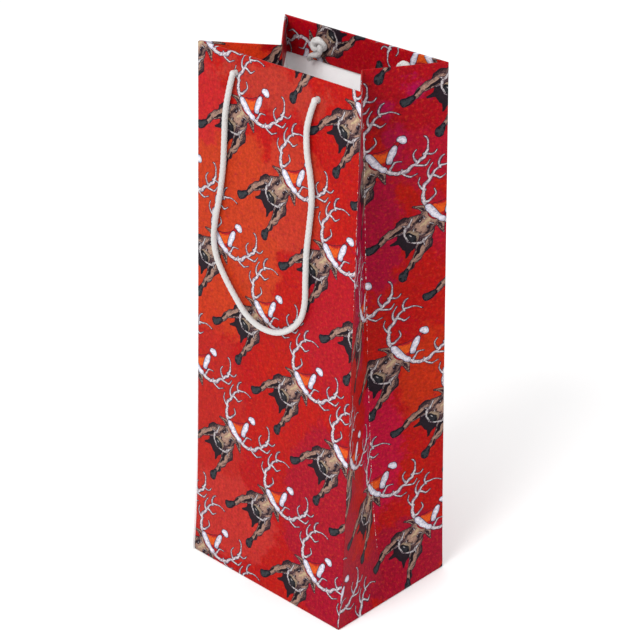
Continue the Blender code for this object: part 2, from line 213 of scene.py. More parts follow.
def make_camera():
    """A long lens from the front right, a little above the bag."""
    azimuth = math.radians(CAMERA_AZIMUTH)
    across = Vector((math.cos(azimuth), math.sin(azimuth), 0.0))
    target = across * CAMERA_AIM_ACROSS + Vector((0.0, 0.0, CAMERA_AIM_UP))
    back = direction(CAMERA_AZIMUTH, CAMERA_ELEVATION)
    data = bpy.data.cameras.new("camera")
    data.lens = CAMERA_LENS
    data.clip_start, data.clip_end = CAMERA_NEAR, CAMERA_FAR
    camera = add_object("camera", data)
    camera.location = target + back * CAMERA_DISTANCE
    face_along(camera, -back)
    bpy.context.scene.camera = camera


# ---- the bag's folded shape


def half_depth(z, face):
    """Distance of the front or back panel's outer face from the middle plane, at height z."""
    rise = max(z - FLOOR_TOP, 0.0)
    near_base = BASE_LEAN[face] * (1 - math.exp(-rise / BASE_LEAN_HEIGHT))
    return BAG_DEPTH / 2 - near_base - EVEN_LEAN[face] * rise / (BAG_HEIGHT - FLOOR_TOP)


def crease(z):
    """(inset, y, z) of the gusset crease, where half a gusset of paper keeps its width."""
    front, back = half_depth(z, FRONT), half_depth(z, BACK)
    inset = math.sqrt(max((BAG_DEPTH / 2) ** 2 - ((front + back) / 2) ** 2, 0.0))
    drop = CREASE_DROP * (1 - math.exp(-max(z - FLOOR_TOP, 0.0) / CREASE_DROP_HEIGHT))
    return inset, (back - front) / 2, z - drop


def hole_frame(side, face):
    """(point on the outer face, outward normal) of a handle hole."""
    z = BAG_HEIGHT - HOLE_BELOW_TOP
    step = 0.001
    slope = (half_depth(z + step, face) - half_depth(z - step, face)) / (2 * step)
    normal = Vector((0.0, face, -slope)).normalized()
    return Vector((side * HOLE_HALF_SPACING, face * half_depth(z, face), z)), normal


def evenly(start, end, parts):
    return [start + (end - start) * part / parts for part in range(parts + 1)]


# ---- ropes


def smooth_path(points, spacing):
    """A Catmull-Rom curve through these points, with new points at even spacing."""
    steps = 24
    points = [2 * points[0] - points[1], *points, 2 * points[-1] - points[-2]]
    fine = []
    for a, b, c, d in zip(points, points[1:], points[2:], points[3:]):
        for t in evenly(0.0, 1.0, steps)[:-1]:
            fine.append(
                0.5 * (2 * b + (c - a) * t + (2 * a - 5 * b + 4 * c - d) * t**2
                       + (3 * b - a - 3 * c + d) * t**3)
            )
    fine.append(points[-2])
    fine = np.array([tuple(p) for p in fine])
    along = np.concatenate([[0.0], np.cumsum(np.linalg.norm(np.diff(fine, axis=0), axis=1))])
    at = np.linspace(0.0, along[-1], round(along[-1] / spacing) + 1)
    return [Vector([np.interp(x, along, fine[:, k]) for k in range(3)]) for x in at]


def strand_outline(turn):
    """Radius of three strands laid together, as a share of the rope's radius, at this angle."""
    between = 2 * math.pi / STRANDS
    away = abs((turn + between / 2) % between - between / 2)
    aside = STRAND_OFFSET * math.sin(away)
    return STRAND_OFFSET * math.cos(away) + math.sqrt(STRAND_RADIUS**2 - aside**2)


def rope(name, path, radius_at, fray_from, material):
    """A twisted rope of three strands along path. radius_at(distance along it) is its radius."""
    shape = bmesh.new()
    sheet_map = shape.loops.layers.uv.new("sheet")
    tangents = [(b - a).normalized() for a, b in zip(path, path[1:])]
    tangents.append(tangents[-1])
    across = tangents[0].orthogonal().normalized()
    travelled = 0.0
    rings, distances = [], []
    for index, (point, tangent) in enumerate(zip(path, tangents)):
        if index:
            travelled += (point - path[index - 1]).length
            across = tangents[index - 1].rotation_difference(tangent) @ across
        other = tangent.cross(across)
        twist = 2 * math.pi * travelled / ROPE_PITCH
        fray = max(0.0, travelled - fray_from) / MM
        spread = min(FRAY_MOST, FRAY_SPREAD * fray)
        ring = []
        for side in range(ROPE_SIDES):
            angle = 2 * math.pi * side / ROPE_SIDES
            reach = radius_at(travelled) * strand_outline(angle - twist)
            reach *= 1 + spread * math.cos(FRAY_TUFTS * angle + FRAY_TURN * fray)
            spot = point + across * math.cos(angle) * reach + other * math.sin(angle) * reach
            ring.append(shape.verts.new(spot))
        rings.append(ring)
        distances.append(travelled / MM)
    girth = 2 * math.pi * ROPE_RADIUS / MM
    for row, (lower, upper) in enumerate(zip(rings, rings[1:])):
        for side in range(ROPE_SIDES):
            after = (side + 1) % ROPE_SIDES
            face = shape.faces.new((lower[side], lower[after], upper[after], upper[side]))
            places = [(side, row), (side + 1, row), (side + 1, row + 1), (side, row + 1)]
            for loop, (column, level) in zip(face.loops, places):
                loop[sheet_map].uv = (girth * column / ROPE_SIDES, distances[level])
    for ring, facing in ((rings[0], -1), (rings[-1], 1)):
        cap = shape.faces.new(ring[::facing])
        bmesh.ops.poke(shape, faces=[cap])
    mesh = mesh_from(name, shape)
    mesh.shade_smooth()
    mesh.materials.append(material)
    return add_object(name, mesh)


def handle_path(face):
    """The middle of a handle, hanging just in front of its panel."""
    _, normal = hole_frame(RIGHT, face)
    points = [
        Vector((x, face * half_depth(z, face), z)) + normal * ROPE_STAND_OFF
        for x, z in HANDLE_ROUTES[face]
    ]
    return smooth_path(points, HANDLE_STEP)


def knot_path(side, face):
    """From in front of the hole, through it, round an overhand knot and down its loose tail.

    The route is in millimetres: across, up the panel and inwards. Seen from inside the bag, every
    knot turns the same way and its tail points to the left.
    """
    hole, normal = hole_frame(side, face)
    lobe, swell, lift, centre = 3.0, 1.25, 1.45, 4.7
    aside, raised = KNOT_SHIFTS.get((side, face), (0.0, 0.0))
    route = [(0.0, 0.0, -3.95), (0.0, 0.0, -2.1), (0.0, 0.0, -0.4), (0.0, 0.0, 1.2)]
    tied = [(-0.1, -1.3, 2.3)]
    for degrees in range(345, 9, -15):
        turn = math.radians(degrees)
        reach = lobe + swell * math.cos(3 * turn)
        inward = centre + lift * math.sin(3 * turn)
        tied.append((reach * math.sin(2 * turn), -reach * math.cos(2 * turn), inward))
    tied += [(0.1, -4.9, 5.8), (-2.2, -5.6, 5.9), (-4.6, -6.3, 5.7)]
    tied += [(-6.3, -7.8, 5.3), (-7.0, -9.6, 5.0)]
    route += [(x + aside * face, z + raised, inward) for x, z, inward in tied]
    across = Vector((face, 0.0, 0.0))
    up = normal.cross(across) * -1
    points = [hole + (across * x + up * z - normal * inward) * MM for x, z, inward in route]
    return smooth_path(points, KNOT_STEP)


def knot_radius(along):
    """A dome in front of the hole, then the rope drawn a little tighter in the knot."""
    dome, neck, shoulder = 1.85 * MM, 1.62 * MM, 2.5 * MM
    tip = 0.0004
    if along < dome:
        return dome * math.sqrt(max(1 - (1 - along / dome) ** 2, tip))
    return neck + (dome - neck) * max(0.0, 1 - (along - dome) / shoulder)


def make_ropes(material):
    """Both handles, each with the two stubs and knots that hold its ends."""
    for face in (FRONT, BACK):
        for side in (LEFT, RIGHT):
            path = knot_path(side, face)
            long = sum((b - a).length for a, b in zip(path, path[1:]))
            name = f"{FACE_NAMES[face]}_{SIDE_NAMES[side]}_knot"
            knot = rope(f"{name}_tied", path, knot_radius, long - FRAY_LENGTH * MM, material)
            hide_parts(name)
            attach(knot, "bag")
        path = handle_path(face)
        cord = rope(
            f"{FACE_NAMES[face]}_handle_rope", path, lambda along: ROPE_RADIUS, math.inf, material
        )
        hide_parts(f"{FACE_NAMES[face]}_handle_cord")
        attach(cord, f"{FACE_NAMES[face]}_handle")


# ---- the printed sheet

# Panels round the sheet from its glued edge: front, right gusset in two halves, back, left gusset
HALF_GUSSET = BAG_DEPTH / 2
PANEL_WIDTHS = [BAG_WIDTH, HALF_GUSSET, HALF_GUSSET, BAG_WIDTH, HALF_GUSSET, HALF_GUSSET]
PANEL_STARTS = [sum(PANEL_WIDTHS[:panel]) for panel in range(7)]
HEM_FACE_DEPTHS = [
    HEM_FACE_DEPTH if width == BAG_WIDTH else GUSSET_HEM_FACE_DEPTH for width in PANEL_WIDTHS
]

# How far each panel sags inwards at its middle
BOWS = [0.0007, 0.0006, -0.0005, 0.0008, -0.0004, 0.0007]

# Two panels meet nearly straight where the sine of the turn between them is less than this
NEARLY_STRAIGHT = 0.05


def smoothstep(value, low, high):
    share = min(max((value - low) / (high - low), 0.0), 1.0)
    return share * share * (3 - 2 * share)


def folds(z):
    """The sheet's six fold lines where they cross height z, from the front left corner."""
    inset, crease_y, crease_z = crease(z)
    half = BAG_WIDTH / 2
    front, rear = -half_depth(z, FRONT), half_depth(z, BACK)
    return [
        Vector(point)
        for point in (
            (-half, front, z), (half, front, z), (half - inset, crease_y, crease_z),
            (half, rear, z), (-half, rear, z), (inset - half, crease_y, crease_z),
        )
    ]


def inward_normal(run):
    return Vector((-run.y, run.x, 0.0)).normalized()


def inset_folds(z, depths):
    """The fold lines of a sheet that lies this deep behind each panel's outer face."""
    points = folds(z)
    moved = []
    for index, point in enumerate(points):
        first = inward_normal(point - points[index - 1])
        second = inward_normal(points[(index + 1) % 6] - point)
        deep, deeper = depths[index - 1], depths[index]
        cross = first.x * second.y - first.y * second.x
        if abs(cross) < NEARLY_STRAIGHT:
            move = (first + second) * (deep + deeper) / 2 / (1 + first.dot(second))
        else:
            move = Vector((
                (deep * second.y - deeper * first.y) / cross,
                (deeper * first.x - deep * second.x) / cross,
                0.0,
            ))
        moved.append(point + move)
    return moved


def sheet_rows():
    """The sheet's rows from its bottom lip to its hem's edge.

    A row is (place up the sheet, z, depth behind the outer face, share of the hem's depth).
    """
    lip_end = LIP_RADIUS * (1 - math.pi / 2) - LIP_REACH
    rows = [(lip_end, 0.0, LIP_RADIUS + LIP_REACH, 0.0)]
    for angle in evenly(math.pi / 2, 0.0, LIP_ROWS):
        parts = (angle, math.sin(angle), math.cos(angle))
        rows.append((*(LIP_RADIUS * (1 - part) for part in parts), 0.0))
    shoulder = BAG_HEIGHT - HEM_TURN_RISE
    hem_low = BAG_HEIGHT - HEM_DEPTH
    heights = [
        LIP_RADIUS + LIP_CLOSE,
        *evenly(FOOT_LOW, FOOT_HIGH, FOOT_ROWS),
        *evenly(WALL_LOW, hem_low, WALL_ROWS),
        *evenly(hem_low + HEM_STEP, shoulder - HEM_CLOSE, HEM_ROWS),
        shoulder,
    ]
    rows += [(z, z, 0.0, 0.0) for z in heights]
    turn_length = math.pi / 2 * HEM_FACE_DEPTH
    for angle in evenly(0.0, math.pi, HEM_TURN_ROWS)[1:]:
        rows.append((
            shoulder + turn_length * angle / math.pi,
            shoulder + HEM_TURN_RISE * math.sin(angle),
            0.0,
            (1 - math.cos(angle)) / 2,
        ))
    for z in [shoulder - HEM_CLOSE, *evenly(shoulder - HEM_BACK_STEP, hem_low, HEM_ROWS)]:
        rows.append((2 * shoulder + turn_length - z, z, 0.0, 1.0))
    return rows


def bow(panel, share, z):
    """How far a panel sags inwards between its folds: none at the base, little at the stiff hem."""
    reach = smoothstep(z, *BOW_RISE) * (1 - BOW_HELD * smoothstep(z, *BOW_HEM))
    sag = BOWS[panel]
    for height, length, across, onward in WAVES:
        sag += height * math.sin(2 * math.pi * (z / length + across * share + onward * panel))
    return reach * math.sin(math.pi * share) * sag


def rounded(corner, before, after):
    """Points round a fold, from one panel's direction to the next one's."""
    start, end = corner - before * FOLD_RADIUS, corner + after * FOLD_RADIUS
    return [
        start * (1 - t) ** 2 + corner * 2 * t * (1 - t) + end * t**2
        for t in evenly(0.0, 1.0, FOLD_COLUMNS)
    ]


def panel_shares(width):
    """Columns across a panel, one of them close to each fold to keep the fold's shading narrow."""
    near = FOLD_CLOSE / (width - 2 * FOLD_RADIUS)
    parts = round(width / COLUMN_WIDTH)
    return [near, *evenly(0.0, 1.0, parts)[1:-1], 1 - near]


def sheet_row(place, z, deep, share):
    """One row of the sheet: its points and their places round it, the glued flap's first."""
    depths = [deep + share * depth for depth in HEM_FACE_DEPTHS]
    lapped = [*depths[:5], depths[5] + FLAP_DEPTH * (1 - 2 * share)]
    corners, lapped_corner = inset_folds(z, depths), inset_folds(z, lapped)[0]
    runs = [(corners[(k + 1) % 6] - corners[k]).normalized() for k in range(6)]
    points, places = [], []
    for reach in (FLAP_WIDTH, FLAP_WIDTH / 2, FOLD_RADIUS + FLAP_CLOSE):
        points.append(lapped_corner - runs[5] * reach)
        places.append(-reach)
    for panel, width in enumerate(PANEL_WIDTHS):
        corner = corners[panel] if panel else lapped_corner
        bend = rounded(corner, runs[panel - 1], runs[panel])
        points += bend
        places += [
            PANEL_STARTS[panel] + turn * FOLD_RADIUS for turn in evenly(-1.0, 1.0, FOLD_COLUMNS)
        ]
        end = corners[(panel + 1) % 6] - runs[panel] * FOLD_RADIUS
        inward = inward_normal(runs[panel])
        for across in panel_shares(width):
            points.append(bend[-1].lerp(end, across) + inward * bow(panel, across, z))
            places.append(PANEL_STARTS[panel] + FOLD_RADIUS + (width - 2 * FOLD_RADIUS) * across)
    on_wall = place > 0 and share == 0
    proud = SEAM_PROUD * max(0.0, 1 - z / SEAM_PROUD_HEIGHT) if on_wall else 0.0
    for beyond in (0.0, proud + SEAM_LEAST):
        points.append(corners[0] + runs[5] * beyond)
        places.append(PANEL_STARTS[6] + beyond)
    return points, places


def cut_holes(sheet):
    """The four handle holes, punched through the panel and its hem. Gives back the cutters."""
    cutters = []
    for face in (FRONT, BACK):
        for side in (LEFT, RIGHT):
            point, normal = hole_frame(side, face)
            shape = bmesh.new()
            bmesh.ops.create_cone(
                shape, cap_ends=True, segments=HOLE_SIDES, radius1=HOLE_RADIUS,
                radius2=HOLE_RADIUS, depth=CUTTER_LENGTH,
            )
            for cut in shape.faces:
                cut.material_index = 1
            cutter = add_object("hole_cutter", mesh_from("hole_cutter", shape))
            cutter.location = point
            cutter.rotation_mode = "QUATERNION"
            cutter.rotation_quaternion = normal.to_track_quat("Z", "Y")
            punch = sheet.modifiers.new("hole", "BOOLEAN")
            punch.object = cutter
            punch.solver = "EXACT"
            cutters.append(cutter)
    return cutters


def apply_modifiers(obj):
    bpy.context.view_layer.update()
    graph = bpy.context.evaluated_depsgraph_get()
    made = bpy.data.meshes.new_from_object(obj.evaluated_get(graph))
    obj.modifiers.clear()
    obj.data = made


def make_sheet(printed, plain):
    """The whole printed sheet, folded round the bag, given its thickness and punched."""
    rows = sheet_rows()
    shape = bmesh.new()
    sheet_map = shape.loops.layers.uv.new("sheet")
    grid = []
    for row in rows:
        place = row[0]
        points, places = sheet_row(*row)
        grid.append([(shape.verts.new(p), (s / MM, place / MM)) for p, s in zip(points, places)])
    for (_, z, _, share), lower, upper in zip(rows, grid, grid[1:]):
        has_flap = share == 0 and FLAP_LOW < z < FLAP_HIGH
        for column in range(0 if has_flap else FLAP_COLUMNS, len(lower) - 1):
            corners = (lower[column], lower[column + 1], upper[column + 1], upper[column])
            face = shape.faces.new([vertex for vertex, _ in corners])
            for loop, (_, spot) in zip(face.loops, corners):
                loop[sheet_map].uv = spot
    loose = [vertex for vertex in shape.verts if not vertex.link_faces]
    bmesh.ops.delete(shape, geom=loose, context="VERTS")
    mesh = mesh_from("printed_sheet", shape)
    mesh.materials.append(printed)
    mesh.materials.append(plain)
    sheet = add_object("printed_sheet", mesh)
    solid = sheet.modifiers.new("thickness", "SOLIDIFY")
    solid.thickness = PAPER
    solid.offset = -1.0
    solid.use_even_offset = True
    solid.material_offset = 1
    solid.material_offset_rim = 1
    cutters = cut_holes(sheet)
    apply_modifiers(sheet)
    for cutter in cutters:
        bpy.data.objects.remove(cutter)
    sheet.data.shade_smooth()
    sheet.data.set_sharp_from_angle(angle=SHARP_ANGLE)
    walls = ["front_panel", "back_panel", "front_hem", "back_hem", "side_seam_flap"]
    for side in ("left", "right"):
        for half in ("front", "rear"):
            walls += [f"{side}_gusset_{half}", f"{side}_gusset_{half}_hem"]
    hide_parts(*walls)
    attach(sheet, "bag")


# ---- materials


class Graph:
    """Builds a node tree. An input is a number, a triple or another node's output socket."""

    def __init__(self, tree, end=None):
        self.tree = tree
        self.end = end

    def add(self, kind, inputs, output=0, **settings):
        node = self.tree.nodes.new(f"ShaderNode{kind}")
        for key, value in settings.items():
            setattr(node, key, value)
        for key, value in inputs.items():
            self.feed(node.inputs[key], value)
        return node.outputs[output]

    def feed(self, socket, value):
        if isinstance(value, bpy.types.NodeSocket):
            self.tree.links.new(value, socket)
        else:
            socket.default_value = (*value, 1.0) if socket.type == "RGBA" else value

    def finished(self, result):
        """The tree of a group, once its result is plugged in."""
        self.feed(self.end, result)
        return self.tree

    def math(self, operation, *values, clamp=False):
        return self.add("Math", dict(enumerate(values)), operation=operation, use_clamp=clamp)

    def vector(self, operation, *values):
        return self.add("VectorMath", dict(enumerate(values)), operation=operation)

    def measure(self, operation, *values):
        return self.add("VectorMath", dict(enumerate(values)), 1, operation=operation)

    def scale(self, vector, factor):
        return self.add("VectorMath", {0: vector, "Scale": factor}, operation="SCALE")

    def stretch(self, point, factors):
        return self.add("Mapping", {0: point, 3: factors})

    def split(self, vector):
        return self.add("SeparateXYZ", {0: vector}).node.outputs

    def place(self):
        """The place on the object, in millimetres."""
        return self.scale(self.add("TexCoord", {}, "Object"), 1 / MM)

    def mix(self, factor, first, second):
        return self.add("Mix", {0: factor, 6: first, 7: second}, 2, data_type="RGBA")

    def noise(self, point, scale, detail=2.0, roughness=0.5):
        inputs = {"Vector": point, "Scale": scale, "Detail": detail, "Roughness": roughness}
        return self.add("TexNoise", inputs)

    def remap(self, value, given, wanted=(0.0, 1.0)):
        """Turn one range of values into another, and hold it at the ends."""
        return self.add("MapRange", dict(enumerate((value, *given, *wanted))))

    def group(self, tree, inputs):
        node = self.tree.nodes.new("ShaderNodeGroup")
        node.node_tree = tree
        for key, value in inputs.items():
            self.feed(node.inputs[key], value)
        return node.outputs[0]


def new_group(name, output, **inputs):
    """(graph, the group's inputs). Each type is given with the names of its inputs."""
    tree = bpy.data.node_groups.new(name, "ShaderNodeTree")
    for kind, labels in inputs.items():
        for label in labels.split():
            tree.interface.new_socket(label, in_out="INPUT", socket_type=f"NodeSocket{kind}")
    tree.interface.new_socket("Result", in_out="OUTPUT", socket_type=f"NodeSocket{output}")
    entry, end = tree.nodes.new("NodeGroupInput"), tree.nodes.new("NodeGroupOutput")
    return Graph(tree, end.inputs[0]), entry.outputs


def stroke_group():
    """Distance from a point to a tapered stroke. Pull is Along over its length squared."""
    graph, given = new_group(
        "stroke", "Float", Vector="Point Start Along Pull", Float="Radius Taper"
    )
    from_start = graph.vector("SUBTRACT", given["Point"], given["Start"])
    share = graph.add("Clamp", {0: graph.measure("DOT_PRODUCT", from_start, given["Pull"])})
    away = graph.measure("DISTANCE", from_start, graph.scale(given["Along"], share))
    radius = graph.math("MULTIPLY_ADD", share, given["Taper"], given["Radius"])
    return graph.finished(graph.math("SUBTRACT", away, radius))


def oval_group():
    """Distance from a point to an oval, about right near its edge."""
    graph, given = new_group("oval", "Float", Vector="Point Centre Turn Radii", Float="Size")
    inputs = {0: given["Point"], 1: given["Centre"], 2: given["Turn"], 3: given["Radii"]}
    local = graph.add("Mapping", inputs, vector_type="TEXTURE")
    away = graph.math("SUBTRACT", graph.measure("LENGTH", local), 1.0)
    return graph.finished(graph.math("MULTIPLY", away, given["Size"]))


def arc_group():
    """Distance from a point to a tapered arc. Turn takes +Y to the arc's middle."""
    graph, given = new_group(
        "arc", "Float", Vector="Point Centre Turn", Float="Size Sine Cosine Spread Radius Taper"
    )
    inputs = {0: given["Point"], 1: given["Centre"], 2: given["Turn"]}
    local = graph.add("Mapping", inputs, vector_type="TEXTURE")
    x, y, _ = graph.split(local)
    aside = graph.math("ABSOLUTE", x)
    past = graph.math("MULTIPLY", y, given["Sine"])
    past = graph.math("LESS_THAN", past, graph.math("MULTIPLY", aside, given["Cosine"]))
    from_x = graph.math("SUBTRACT", aside, graph.math("MULTIPLY", given["Size"], given["Sine"]))
    from_y = graph.math("SUBTRACT", y, graph.math("MULTIPLY", given["Size"], given["Cosine"]))
    from_end = graph.measure("LENGTH", graph.add("CombineXYZ", {0: from_x, 1: from_y}))
    from_ring = graph.math("SUBTRACT", graph.measure("LENGTH", local), given["Size"])
    from_ring = graph.math("ABSOLUTE", from_ring)
    away = graph.add("Mix", {0: past, 2: from_ring, 3: from_end})
    share = graph.math("DIVIDE", graph.math("ARCTAN2", x, y), given["Spread"])
    share = graph.add("Clamp", {0: share, 1: -1.0, 2: 1.0})
    radius = graph.math("MULTIPLY_ADD", share, given["Taper"], given["Radius"])
    return graph.finished(graph.math("SUBTRACT", away, radius))


# The print's drawing, in millimetres: how soft an edge is, how far streaks in the paint move the
# edge and the rim inside it, and how far the whole drawing wanders
EDGE_SOFTNESS = 0.20
STREAK_ON_EDGE = 0.08
STREAK_ON_RIM = 1.9
WANDER = 1.2


def paint_group():
    """A painted shape over a colour: a dark outline, and a rim that turns to the core colour.

    Streak, in millimetres, shifts the rim's inner edge a lot and the shape's own edge a little.
    """
    graph, given = new_group(
        "paint", "Color", Color="Under Core Rim Outline", Float="Distance Depth Width Streak"
    )
    distance = graph.math("MULTIPLY_ADD", given["Streak"], STREAK_ON_EDGE, given["Distance"])
    wide = graph.math("SUBTRACT", given["Width"], distance)
    outlined = graph.math("MULTIPLY_ADD", wide, 1 / EDGE_SOFTNESS, 0.5, clamp=True)
    under = graph.mix(outlined, given["Under"], given["Outline"])
    inside = graph.math("MULTIPLY_ADD", distance, -1 / EDGE_SOFTNESS, 0.5, clamp=True)
    deep = graph.math("SUBTRACT", given["Streak"], distance)
    deep = graph.math("DIVIDE", deep, given["Depth"], clamp=True)
    fill = graph.mix(deep, given["Rim"], given["Core"])
    return graph.finished(graph.mix(inside, under, fill))


INK = (0.016, 0.006, 0.016)
BARK = (0.009, 0.005, 0.009)
FUR, FUR_EDGE = (0.268, 0.160, 0.122), (0.046, 0.022, 0.026)
SHADE_FUR, SHADE_EDGE = (0.095, 0.053, 0.050), (0.008, 0.004, 0.007)
TUFT, TUFT_EDGE = (0.40, 0.37, 0.37), (0.10, 0.07, 0.08)
ANTLER, ANTLER_EDGE = (0.51, 0.47, 0.49), (0.22, 0.16, 0.20)
WOOL, WOOL_EDGE = (0.58, 0.565, 0.62), (0.30, 0.28, 0.37)
FELT, FELT_EDGE = (0.53, 0.070, 0.008), (0.30, 0.006, 0.010)
HOOF, HOOF_EDGE = (0.028, 0.031, 0.036), (0.003, 0.002, 0.005)
CHEST = (0.014, 0.008, 0.012)
BLAZE = (0.38, 0.28, 0.17)
MUZZLE, MUZZLE_EDGE = (0.26, 0.19, 0.13), (0.09, 0.055, 0.045)
NOSE, NOSE_EDGE = (0.018, 0.018, 0.022), (0.003, 0.003, 0.005)

# An outline width that draws none
NO_OUTLINE = -9.0

# A leaping reindeer in a red hat, seen head on and drawn as layers from back to front, in
# millimetres: +y is up the animal, and the hat's bobble is near the origin. A layer is (mirrored,
# shapes, core, rim, rim depth, outline width). A stroke is (x, y, x, y, radius, radius), an oval
# (x, y, radius across, radius up, turn in degrees), and an arc is a stroke with its bulge.
REINDEER = [
    (True, [(0, -33, 9.4, 9.6, 0), (7.4, -36.4, 5.6, 6, 30)], SHADE_FUR, SHADE_EDGE, 2.6, 0.35),
    (True, [(5.6, -30, 3, 4.4, 25)], FUR, SHADE_FUR, 1.6, 0),
    (True, [(8.2, -36.6, 11.6, -46.4, 3.4, 2.1), (11.6, -46.4, 12.4, -54.2, 2, 1.35)],
     FUR, FUR_EDGE, 1.6, 0.32),
    (True, [(6.8, -36, 10.2, -45.5, 1.7, 0.5), (12.6, -48, 13.4, -53, 0.6, 0.3)],
     BARK, SHADE_EDGE, 1.2, 0),
    (True, [(12.4, -54.6, 13.6, -59.2, 1.6, 2.5)], HOOF, HOOF_EDGE, 1.3, 0.30),
    (True, [(0, -42, 6.6, 4.6, 0), (3, -43, 6, -48.6, 2.2, 0.6)], CHEST, BARK, 2, 0),
    (True, [(6.3, -21.5, 12, -24.2, 2.1, 0.5)], FUR, FUR_EDGE, 0.9, 0.32),
    (True, [(7, -22, 10.2, -23.6, 0.8, 0.3)], BARK, FUR_EDGE, 0.8, 0),
    (True, [(3.4, -39.8, 6.2, -37, 0.7, 0.8), (6.2, -37, 7.4, -33, 0.8, 0.6),
            (0, -41.2, 3.4, -39.8, 0.5, 0.7), (7.4, -33, 7.6, -29.4, 0.6, 0.3),
            (4.8, -38.2, 6.8, -41.4, 0.6, 0.15), (6.8, -35, 9.8, -36.8, 0.6, 0.15)],
     TUFT, TUFT_EDGE, 0.6, 0.28),
    (True, [(0, -23.6, 0, -34.8, 6.2, 4.4)], FUR, FUR_EDGE, 2.4, 0.32),
    (True, [(3.4, -25.4, 4.8, -31.4, 1.4, 1), (1.7, -32.6, 3.6, -36.6, 0.5, 0.9)],
     BARK, SHADE_FUR, 1.1, 0),
    (True, [(0, -22.8, 0, -31, 1.2, 0.7)], BLAZE, FUR, 0.9, 0),
    (True, [(0, -36.8, 4.2, 3.4, 0)], MUZZLE, MUZZLE_EDGE, 1.5, 0.30),
    (True, [(0, -38, 3.5, 2.4, 0)], NOSE, NOSE_EDGE, 0.9, 0),
    (True, [(0, -41, 2.6, -40.5, 0.20, 0.12), (2.9, -28.2, 1, 1.1, 0),
            (1.5, -24.5, 2.6, -30, 0.2, 0.1)], INK, INK, 1, 0),
    (True, [(2, -34.6, 4.4, -32.4, 0.3, 0.12), (1.8, -25.8, 4.2, -24.8, 0.35, 0.15)],
     TUFT, TUFT_EDGE, 0.5, 0),
    (False, [(-0.9, -37.4, 0.7, 0.25, 12), (2.6, -27.9, 0.26, 0.28, 0),
             (-3.2, -27.9, 0.26, 0.28, 0)],
     TUFT, TUFT, 1, 0),
    (True, [
        (5.4, -19.2, 17, -5.6, 1.10, 0.85, -3.8), (17, -5.6, 10, 9.8, 0.85, 0.28, -4.2),
        (9.6, -17.6, 10.6, -8.8, 0.72, 0.24, 2.1), (14.4, -12.6, 22.2, -9.4, 0.72, 0.24, -2.2),
        (17.4, -5.4, 22.4, 1.4, 0.70, 0.24, -1.9), (17.6, -3.4, 11.6, 1.6, 0.60, 0.22, 1.8),
        (17.2, 2, 20.8, 9, 0.56, 0.22, -1.6),
    ], ANTLER, ANTLER_EDGE, 0.6, 0.38),
    (False, [(0, -17.4, 0.8, -10.5, 5.2, 2.6), (0.8, -10.5, 1.5, -2, 2.2, 0.7)],
     FELT_EDGE, FELT_EDGE, 1.9, 0.32),
    (False, [(0, -16.6, 0.6, -11, 4.4, 1.6)], FELT, FELT_EDGE, 1.5, 0),
    (False, [(1.6, -6, 4.6, -12.6, 1.4, 2.3)], WOOL, WOOL_EDGE, 1.5, 0.36),
    (True, [(0, -19.5, 5.8, -18.8, 2.1, 1.9)], WOOL, WOOL_EDGE, 1.2, 0.32),
    (False, [(1.6, 0.3, 2.7, 2.4, 0)], WOOL, WOOL_EDGE, 1.3, 0.32),
]


def arc_inputs(x, y, end_x, end_y, radius, end_radius, bulge):
    """An arc between two points that bulges this far to its left, or to its right if negative."""
    start, end = Vector((x, y)), Vector((end_x, end_y))
    run = end - start
    side = math.copysign(1.0, bulge)
    outwards = Vector((-run.y, run.x)).normalized() * side
    half = run.length / 2
    size = (half**2 + bulge**2) / (2 * abs(bulge))
    centre = (start + end) / 2 - outwards * (size - abs(bulge))
    spread = math.asin(half / size)
    return {
        "Centre": (*centre, 0.0), "Turn": (0.0, 0.0, math.atan2(-outwards.x, outwards.y)),
        "Size": size, "Sine": math.sin(spread), "Cosine": math.cos(spread), "Spread": spread,
        "Radius": (radius + end_radius) / 2, "Taper": (end_radius - radius) / 2 * side,
    }


def shape_distance(graph, groups, shapes, point):
    """Distance from a point to the nearest of these shapes."""
    nearest = None
    for shape in shapes:
        if len(shape) == 7:
            kind, inputs = "arc", arc_inputs(*shape)
        elif len(shape) == 6:
            x, y, end_x, end_y, radius, end_radius = shape
            along = Vector((end_x - x, end_y - y, 0.0))
            kind, inputs = "stroke", {
                "Start": (x, y, 0.0), "Along": along, "Pull": along / along.length_squared,
                "Radius": radius, "Taper": end_radius - radius,
            }
        else:
            x, y, wide, tall, turn = shape
            kind, inputs = "oval", {
                "Centre": (x, y, 0.0), "Turn": (0.0, 0.0, math.radians(turn)),
                "Radii": (wide, tall, 1.0), "Size": min(wide, tall),
            }
        distance = graph.group(groups[kind], {"Point": point, **inputs})
        nearest = distance if nearest is None else graph.math("MINIMUM", nearest, distance)
    return nearest


